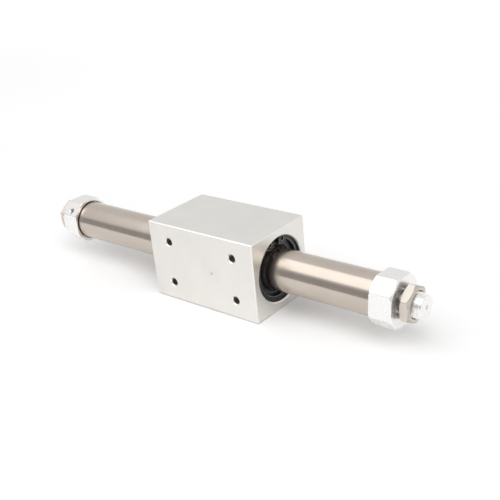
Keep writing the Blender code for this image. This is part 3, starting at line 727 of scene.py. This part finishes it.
def add_scraper(name, side):
    """The rubber ring with its wiping lip and a groove behind the lip."""
    thin = (SCRAPER_LIP_RADIUS - WIPE_RADIUS) / 3
    lip = thin * SCRAPER_LIP_SHARE
    profile = rounded([
        (SCRAPER_LIP_RADIUS - thin, SCRAPER_END),
        (WIPE_RADIUS, SCRAPER_END - lip),
        (WIPE_RADIUS, SCRAPER_END - 2 * lip),
        (SCRAPER_LIP_RADIUS - thin, SCRAPER_END - SCRAPER_GROOVE),
        (SCRAPER_LIP_RADIUS, SCRAPER_START),
        (SCRAPER_OUTSIDE, SCRAPER_START),
        (SCRAPER_OUTSIDE, SCRAPER_SHOULDER),
        (SCRAPER_LIP_RADIUS, SCRAPER_SHOULDER),
        (SCRAPER_LIP_RADIUS, SCRAPER_END - thin),
    ], EDGE_ROUND / 2, True)
    mesh = turned(profile, ROUND_SEGMENTS, closed=True)
    dress(f"wiper_{name}", moved(mesh, on_axis(BLOCK_MIDDLE, side)), "slider",
          "black_rubber", [f"scraper_{name}"], end_chamfer)


def eased(value):
    """Eases from 0 to 1."""
    value = min(max(value, 0.0), 1.0)
    return value * value * (3.0 - 2.0 * value)


def circlip_width(angle):
    """Radial width of the ring at an angle, in degrees, from the middle of its gap."""
    lug_end = CIRCLIP_GAP_ANGLE + CIRCLIP_LUG_ANGLE
    share = eased((angle - lug_end) / (180.0 - lug_end))
    ring = CIRCLIP_TIP_WIDTH + (CIRCLIP_BACK_WIDTH - CIRCLIP_TIP_WIDTH) * share
    fillet = eased((angle - lug_end + CIRCLIP_LUG_ANGLE / 4) / (CIRCLIP_LUG_ANGLE / 2))
    return CIRCLIP_LUG_WIDTH + (ring - CIRCLIP_LUG_WIDTH) * fillet


def circlip_outline(ease):
    """The open ring with two lugs, its gap on local +Y, drawn in by the ease."""
    span = 180.0 - CIRCLIP_GAP_ANGLE
    edge_turn = math.degrees(ease / CIRCLIP_RADIUS)
    one_side = []
    for step in range(CIRCLIP_STEPS + 1):
        angle = CIRCLIP_GAP_ANGLE + span * (step / CIRCLIP_STEPS) ** CIRCLIP_BUNCHING
        one_side.append(max(angle, CIRCLIP_GAP_ANGLE + edge_turn))
    angles = one_side + [360.0 - angle for angle in reversed(one_side[:-1])]
    points = []
    for angle in angles:
        turn = math.radians(angle)
        outer = CIRCLIP_RADIUS - ease
        points.append((outer * math.sin(turn), outer * math.cos(turn)))
    for angle in reversed(angles):
        turn = math.radians(angle)
        inner = CIRCLIP_RADIUS - circlip_width(min(angle, 360.0 - angle)) + ease
        points.append((inner * math.sin(turn), inner * math.cos(turn)))
    return points


def circle(middle, radius, count):
    """Points around a small round hole."""
    turns = [2 * math.pi * step / count for step in range(count)]
    return [(middle[0] + radius * math.cos(turn), middle[1] + radius * math.sin(turn))
            for turn in turns]


def add_circlip(name, side):
    """The sprung retaining ring with eased edges and two eyes."""
    eye_distance = CIRCLIP_RADIUS - CIRCLIP_LUG_WIDTH / 2
    eye_turn = math.radians(CIRCLIP_GAP_ANGLE + CIRCLIP_LUG_ANGLE / 2)
    outlines = [circlip_outline(CIRCLIP_EDGE)]
    for direction in (-1, 1):
        middle = (direction * eye_distance * math.sin(eye_turn), eye_distance * math.cos(eye_turn))
        outlines.append(circle(middle, CIRCLIP_EYE_RADIUS + CIRCLIP_EDGE, EYE_SEGMENTS))
    curve = bpy.data.curves.new("circlip_outline", "CURVE")
    curve.dimensions = "2D"
    curve.fill_mode = "BOTH"
    curve.extrude = (CIRCLIP_END - CIRCLIP_START) / 2 - CIRCLIP_EDGE
    curve.bevel_depth = CIRCLIP_EDGE
    curve.bevel_resolution = 2
    for outline in outlines:
        line = curve.splines.new("POLY")
        line.points.add(len(outline) - 1)
        for point, (x, y) in zip(line.points, outline):
            point.co = (x, y, 0.0, 1.0)
        line.use_cyclic_u = True
    mesh = taken_off(new_object("circlip_drawing", curve))
    working = bmesh.new()
    working.from_mesh(mesh)
    bmesh.ops.remove_doubles(working, verts=working.verts, dist=TINY)
    stand = (
        Matrix.Translation(((CIRCLIP_START + CIRCLIP_END) / 2, 0.0, 0.0))
        @ Matrix.Rotation(math.pi / 2, 4, "Z")
        @ Matrix.Rotation(math.pi / 2, 4, "X"))
    mesh = moved(new_mesh("circlip", working), on_axis(BLOCK_MIDDLE, side) @ stand)
    dress(f"retaining_ring_{name}", mesh, "slider", "circlip_steel", [f"circlip_{name}"],
          end_chamfer)


def cover_outline():
    """The turned form of a cover, from the middle of its outer face to its channel."""
    blank = COVER_CORNER_RADIUS + CLEAR_OF_CORNER
    outer = rounded([
        (0.0, COVER_OUTER_FACE),
        (COVER_OUTER_RIM, COVER_OUTER_FACE),
        (blank, COVER_OUTER_FACE - COVER_OUTER_CHAMFER - CLEAR_OF_CORNER),
        (blank, COVER_INNER_FACE + COVER_INNER_CHAMFER + CLEAR_OF_CORNER),
        (COVER_CORNER_RADIUS - COVER_INNER_CHAMFER, COVER_INNER_FACE),
        (SOCKET_RADIUS + SOCKET_CHAMFER, COVER_INNER_FACE),
        (SOCKET_RADIUS, COVER_INNER_FACE + SOCKET_CHAMFER),
        (SOCKET_RADIUS, SOCKET_FLOOR),
    ], EDGE_ROUND, False)
    inner = [
        (SPIGOT_RADIUS, SOCKET_FLOOR),
        (SPIGOT_RADIUS, SEAL_GROOVE_END),
        (SEAL_GROOVE_RADIUS, SEAL_GROOVE_END),
        (SEAL_GROOVE_RADIUS, SEAL_GROOVE_START),
        (SPIGOT_RADIUS, SEAL_GROOVE_START),
        (SPIGOT_RADIUS, SPIGOT_FACE),
        (SNOUT_RADIUS, SPIGOT_FACE),
        (SNOUT_RADIUS, SNOUT_FACE),
        (CHANNEL_RADIUS, SNOUT_FACE),
        (CHANNEL_RADIUS, PORT_X),
        (0.0, PORT_X + CHANNEL_RADIUS / 2),
    ]
    return outer + inner


def octagon():
    """Corners of the cover's section: four wide flats and four corner flats."""
    wide = COVER_HALF_WIDTH
    half = COVER_FACE_WIDTH / 2
    quarter = [(wide, -half), (wide, half)]
    corners = []
    for turn in range(4):
        for y, z in quarter:
            for _ in range(turn):
                y, z = -z, y
            corners.append((y, z))
    return corners


def add_nose(cover):
    """Adds the threaded nose with its relief and centre drilling."""
    thread = threaded_rod(
        RELIEF_END, NOSE_END, NOSE_ROOT_RADIUS, NOSE_RADIUS, NOSE_PITCH, RELIEF_RADIUS,
        NOSE_ROOT_RADIUS - RELIEF_SLACK, NOSE_SEGMENTS)
    neck_end = RELIEF_END + NECK_INTO_THREAD
    neck_start = COVER_OUTER_FACE - NECK_INTO_COVER
    neck = turned([
        (0.0, neck_end),
        (RELIEF_RADIUS - RELIEF_SLACK, neck_end),
        (RELIEF_RADIUS - RELIEF_SLACK, neck_start),
        (0.0, neck_start),
    ], THREAD_SEGMENTS)
    drill = turned([
        (0.0, NOSE_END + CENTRE_DRILL_SINK),
        (CENTRE_DRILL_RADIUS + CENTRE_DRILL_SINK, NOSE_END + CENTRE_DRILL_SINK),
        (0.0, NOSE_END - CENTRE_DRILL_RADIUS),
    ], HOLE_SEGMENTS)
    nose = combined(combined(thread, neck, "UNION"), drill, "DIFFERENCE")
    return combined(cover, nose, "UNION")


def cover_painted_shade(polygon):
    """Painted shade: 1 on the neck between a cover and its nut, and less in the centre drilling.
    """
    place = polygon.center
    radius = math.hypot(place.y, place.z - AXIS_HEIGHT)
    if radius > NOSE_ROOT_RADIUS:
        return 0.0
    if COVER_OUTER_FACE + TINY < abs(place.x) < RELIEF_END + NOSE_PITCH / 2:
        return 1.0
    behind_face = NOSE_END - abs(place.x)
    in_drilling = radius < CENTRE_DRILL_RADIUS and TINY < behind_face < CENTRE_DRILL_RADIUS
    return CENTRE_PAINTED_SHADE if in_drilling else 0.0


def add_cover(name, side):
    """An octagonal cover with its port and its threaded nose."""
    length = COVER_OUTER_FACE - SNOUT_FACE + COVER_SPARE
    section = bar(octagon(), length, LONG_EDGE_ROUND)
    turn = COVER_TURNS[name]
    middle = (COVER_OUTER_FACE + SNOUT_FACE) / 2
    section = moved(section, Matrix.Translation((side * middle, 0.0, 0.0)) @ axis_turn(turn))
    facing = Matrix.Rotation(0.0 if side > 0 else math.pi, 4, "Z")
    cover = moved(turned(cover_outline(), ROUND_SEGMENTS), facing)
    cover = combined(cover, section, "INTERSECT")
    rim = (COVER_HALF_WIDTH + COVER_FACE_WIDTH / 2) / math.sqrt(2)
    drill, tap = hole_cutters(
        PORT_RADIUS, PORT_THREAD_RADIUS, PORT_PITCH, rim - PORT_RADIUS, PORT_COUNTERSINK,
        HOLE_SEGMENTS)
    place = (
        Matrix.Translation((side * PORT_X, 0.0, 0.0))
        @ axis_turn(PORT_ANGLES[name] + turn)
        @ Matrix.Translation((0.0, rim, PORT_OFFSET))
        @ Matrix.Rotation(math.pi / 2, 4, "Z"))
    cover = combined(cover, moved(drill, place), "DIFFERENCE")
    cover = combined(cover, moved(tap, place), "DIFFERENCE")
    cover = moved(add_nose(moved(cover, facing)), on_axis(0.0, side))
    dress(f"end_cover_{name}", cover, "cylinder", "cover_aluminium", [f"head_cover_{name}"],
          end_chamfer, cover_painted_shade)


def off_the_flats(turn):
    """A test for a nut's chamfers and eased corners, which the finish makes darker as a painted
    dark reflection.
    """
    def test(polygon):
        normal = polygon.normal
        if abs(normal.x) > math.sqrt(0.5):
            return end_chamfer(polygon)
        angle = math.degrees(math.atan2(normal.z, normal.y)) - turn
        off = abs(angle % NUT_FLAT_TURN - NUT_FLAT_TURN / 2)
        return end_chamfer(polygon) or off > NUT_FLAT_SLACK
    return test


def add_nut(name, side):
    """A thin hexagon nut, chamfered on both faces and threaded."""
    corner = NUT_FLATS / math.sqrt(3)
    blank = corner + CLEAR_OF_CORNER
    half = NUT_THICKNESS / 2
    slope = (blank - NUT_LAND_RADIUS) * math.tan(math.radians(NUT_CHAMFER_ANGLE))
    mouth = NUT_MOUTH_RADIUS - NUT_BORE_RADIUS
    outline = [
        (NUT_LAND_RADIUS, half),
        (blank, half - slope),
        (blank, slope - half),
        (NUT_LAND_RADIUS, -half),
        (NUT_MOUTH_RADIUS, -half),
        (NUT_BORE_RADIUS, mouth - half),
        (NUT_BORE_RADIUS, half - mouth),
        (NUT_MOUTH_RADIUS, half),
    ]
    nut = turned(rounded(outline, EDGE_ROUND, True), ROUND_SEGMENTS, closed=True)
    tap_half = half * NUT_TAP_REACH
    tap_end = NUT_BORE_RADIUS * NUT_TAP_END
    tap = threaded_rod(-tap_half, tap_half, NUT_BORE_RADIUS * NUT_TAP_ROOT, NUT_THREAD_RADIUS,
                       NOSE_PITCH, tap_end, tap_end, NOSE_SEGMENTS)
    turns = [math.radians(NUT_FLAT_TURN * step) for step in range(NUT_SIDES)]
    corners = [(corner * math.cos(turn), corner * math.sin(turn)) for turn in turns]
    hexagon = moved(bar(corners, 2 * NUT_THICKNESS, LONG_EDGE_ROUND), axis_turn(NUT_TURNS[name]))
    nut = combined(nut, hexagon, "INTERSECT")
    nut = combined(nut, tap, "DIFFERENCE")
    place = Matrix.Translation((side * NUT_PLACES[name], 0.0, AXIS_HEIGHT))
    dress(f"hexagon_nut_{name}", moved(nut, place), "cylinder", "nut_nickel",
          [f"mounting_nut_{name}"], off_the_flats(NUT_TURNS[name]))


def dress_hidden_nodes():
    """Gives the CAD nodes that stay their finish, by the slot that the record names."""
    slots = {material["slot"] for material in frame["record"]["materials"]}
    for item in frame["nodes"].values():
        for place in item.material_slots:
            slot = place.material.name.split(".")[0] if place.material else ""
            if slot in slots:
                place.material = FINISHES[slot]


# Studio

def add_camera():
    """The photograph's camera."""
    azimuth = math.radians(CAMERA_AZIMUTH)
    elevation = math.radians(CAMERA_ELEVATION)
    roll = math.radians(CAMERA_ROLL)
    back = Vector((
        math.sin(azimuth) * math.cos(elevation),
        -math.cos(azimuth) * math.cos(elevation),
        math.sin(elevation)))
    level = Vector((0.0, 0.0, 1.0)).cross(back).normalized()
    upright = back.cross(level)
    right = level * math.cos(roll) + upright * math.sin(roll)
    up = upright * math.cos(roll) - level * math.sin(roll)
    camera = bpy.data.objects.new("camera", bpy.data.cameras.new("camera"))
    bpy.context.scene.collection.objects.link(camera)
    turn = Matrix((right, up, back)).transposed().to_4x4()
    camera.matrix_world = Matrix.Translation(CAMERA_PLACE) @ turn
    camera.data.sensor_fit = "HORIZONTAL"
    camera.data.sensor_width = SENSOR_WIDTH
    camera.data.lens = CAMERA_LENS
    camera.data.clip_start = CAMERA_NEAR
    bpy.context.scene.camera = camera


FLOOR_SIZE = 6.0
FLOOR_GAP = 0.0002
FLOOR_COLOUR = (0.97, 0.97, 0.97, 1.0)
# Glow of the floor by distance from the object: low near it, a painted shade around the object
FLOOR_LIFTS = [(0.0, 0.03), (0.010, 0.03), (0.025, 0.15), (0.06, 0.19), (0.20, 0.34),
               (0.60, 0.54), (1.0, 0.60)]
FLOOR_REACH = 1.0
FLOOR_SQUEEZE = (0.4, 1.0, 1.0)


def seen_directly(tree):
    """1 for rays from the camera, and for reflections and glass."""
    path = add(tree, "ShaderNodeLightPath")
    total = path.outputs["Is Camera Ray"]
    for name in ("Is Glossy Ray", "Is Transmission Ray"):
        total = add(tree, "ShaderNodeMath", [(0, total), (1, path.outputs[name])],
                    operation="MAXIMUM").outputs[0]
    return total


def add_floor():
    """A white floor that keeps the object's soft shadow, with a glow for camera and glossy rays
    that grows with distance; its weak glow near the object is painted shade that deepens the
    shadow there.
    """
    working = bmesh.new()
    bmesh.ops.create_grid(working, x_segments=1, y_segments=1, size=FLOOR_SIZE / 2)
    floor = new_object("floor", new_mesh("floor", working))
    floor.location.z = BLOCK_LOW.z - FLOOR_GAP
    material = bpy.data.materials.new("floor")
    material.use_nodes = True
    tree = material.node_tree
    tree.nodes.clear()
    paint = add(tree, "ShaderNodeBsdfDiffuse", [("Color", FLOOR_COLOUR)])
    place = add(tree, "ShaderNodeTexCoord").outputs["Object"]
    squeezed = add(tree, "ShaderNodeVectorMath", [(0, place), (1, FLOOR_SQUEEZE)],
                   operation="MULTIPLY")
    away = add(tree, "ShaderNodeVectorMath", [(0, squeezed.outputs[0])], operation="LENGTH")
    reach = rescale(tree, away.outputs["Value"], 0.0, 1.0, 0.0, FLOOR_REACH)
    rising = add(tree, "ShaderNodeRGBToBW", [("Color", ramp(tree, reach, FLOOR_LIFTS))])
    lift = add(tree, "ShaderNodeMath", [
        (0, seen_directly(tree)), (1, rising.outputs[0])], operation="MULTIPLY")
    glow = add(tree, "ShaderNodeEmission", [("Strength", lift.outputs[0])])
    both = add(tree, "ShaderNodeAddShader", [(0, paint.outputs[0]), (1, glow.outputs[0])])
    add(tree, "ShaderNodeOutputMaterial", [("Surface", both.outputs[0])])
    floor.data.materials.append(material)


def ramp(tree, value, stops):
    """A grey ramp over a value from 0 to 1."""
    made = add(tree, "ShaderNodeValToRGB", [("Fac", value)])
    elements = made.color_ramp.elements
    while len(elements) < len(stops):
        elements.new(0.5)
    for element, (position, level) in zip(elements, stops):
        element.position = position
        element.color = (level, level, level, 1.0)
    return made.outputs["Color"]


WORLD_STOPS = [(0.51, 1.0), (0.60, 0.84), (0.80, 0.84), (0.95, 0.92)]
WORLD_LIGHT = 0.55
CARD_DISTANCE = 0.20
CARD_LENGTH = 1.20
CARD_HEIGHT = 0.155
# Glow of the card up its height, seen only as a painted reflection in the metal
CARD_STOPS = [(0.0, 0.43), (0.72, 0.43), (1.0, 0.80)]


def add_world():
    """A pale studio, a little brighter above, that lights the object somewhat less."""
    world = bpy.data.worlds.new("studio")
    bpy.context.scene.world = world
    world.use_nodes = True
    tree = world.node_tree
    tree.nodes.clear()
    direction = add(tree, "ShaderNodeTexCoord").outputs["Generated"]
    parts = add(tree, "ShaderNodeSeparateXYZ", [("Vector", direction)])
    height = rescale(tree, parts.outputs["Z"], 0.0, 1.0, -1.0, 1.0)
    strength = rescale(tree, seen_directly(tree), WORLD_LIGHT, 1.0, 0.0, 1.0)
    light = add(tree, "ShaderNodeBackground", [
        ("Color", ramp(tree, height, WORLD_STOPS)), ("Strength", strength)])
    add(tree, "ShaderNodeOutputWorld", [("Surface", light.outputs[0])])


def add_card():
    """A low grey card along the front that glows and that only reflections see: a painted
    reflection, darker below, in the metal.
    """
    working = bmesh.new()
    corners = []
    for x, z in ((-1, 0), (1, 0), (1, 1), (-1, 1)):
        place = (x * CARD_LENGTH / 2, -CARD_DISTANCE, BLOCK_LOW.z + z * CARD_HEIGHT)
        corners.append(working.verts.new(place))
    working.faces.new(corners)
    card = new_object("grey_card", new_mesh("grey_card", working))
    material = bpy.data.materials.new("grey_card")
    material.use_nodes = True
    tree = material.node_tree
    tree.nodes.clear()
    place = add(tree, "ShaderNodeTexCoord").outputs["Object"]
    parts = add(tree, "ShaderNodeSeparateXYZ", [("Vector", place)])
    height = rescale(tree, parts.outputs["Z"], 0.0, 1.0, BLOCK_LOW.z, BLOCK_LOW.z + CARD_HEIGHT)
    tone = add(tree, "ShaderNodeEmission", [("Color", ramp(tree, height, CARD_STOPS))])
    add(tree, "ShaderNodeOutputMaterial", [("Surface", tone.outputs[0])])
    card.data.materials.append(material)
    card.visible_camera = False
    card.visible_diffuse = False
    card.visible_shadow = False
    card.visible_transmission = False


LAMP_ANGLE = 114.0
LAMP_DISTANCE = 0.45
LAMP_ENDS = (-0.43, 0.25)
LAMP_WIDTH = 0.46
LAMP_LEVEL = 0.95
SIDE_LAMP_PLACE = Vector((0.32, -0.24, 0.50))
SIDE_LAMP_SIZE = 0.36
SIDE_LAMP_LEVEL = 1.95


def add_lamp(name, length, width, level, place):
    """A soft box that faces its own -Z, as bright as a surface of its level."""
    lamp = bpy.data.lights.new(name, "AREA")
    lamp.shape = "RECTANGLE"
    lamp.size = length
    lamp.size_y = width
    lamp.energy = level * math.pi * length * width
    item = bpy.data.objects.new(name, lamp)
    bpy.context.scene.collection.objects.link(item)
    item.matrix_world = place


def add_lamps():
    """A long soft box over the object, and a smaller one at its right."""
    middle = Matrix.Translation((0.0, 0.0, AXIS_HEIGHT))
    over = Matrix.Translation((sum(LAMP_ENDS) / 2, 0.0, LAMP_DISTANCE))
    add_lamp("soft_box", LAMP_ENDS[1] - LAMP_ENDS[0], LAMP_WIDTH, LAMP_LEVEL,
             middle @ axis_turn(LAMP_ANGLE - 90.0) @ over)
    aim = SIDE_LAMP_PLACE.to_track_quat("Z", "Y").to_matrix().to_4x4()
    add_lamp("side_box", SIDE_LAMP_SIZE, SIDE_LAMP_SIZE, SIDE_LAMP_LEVEL,
             Matrix.Translation(SIDE_LAMP_PLACE) @ aim)


def add_studio():
    """Floor, world, lamps and card."""
    add_floor()
    add_world()
    add_lamps()
    add_card()
    bpy.context.scene.view_settings.view_transform = "Standard"


def main():
    """Builds every piece, then the studio."""
    add_tube()
    add_slider_block()
    for name, side in SIDES.items():
        add_holder(name, side)
        add_scraper(name, side)
        add_circlip(name, side)
        add_cover(name, side)
        add_nut(name, side)
    dress_hidden_nodes()
    add_camera()
    add_studio()


main()
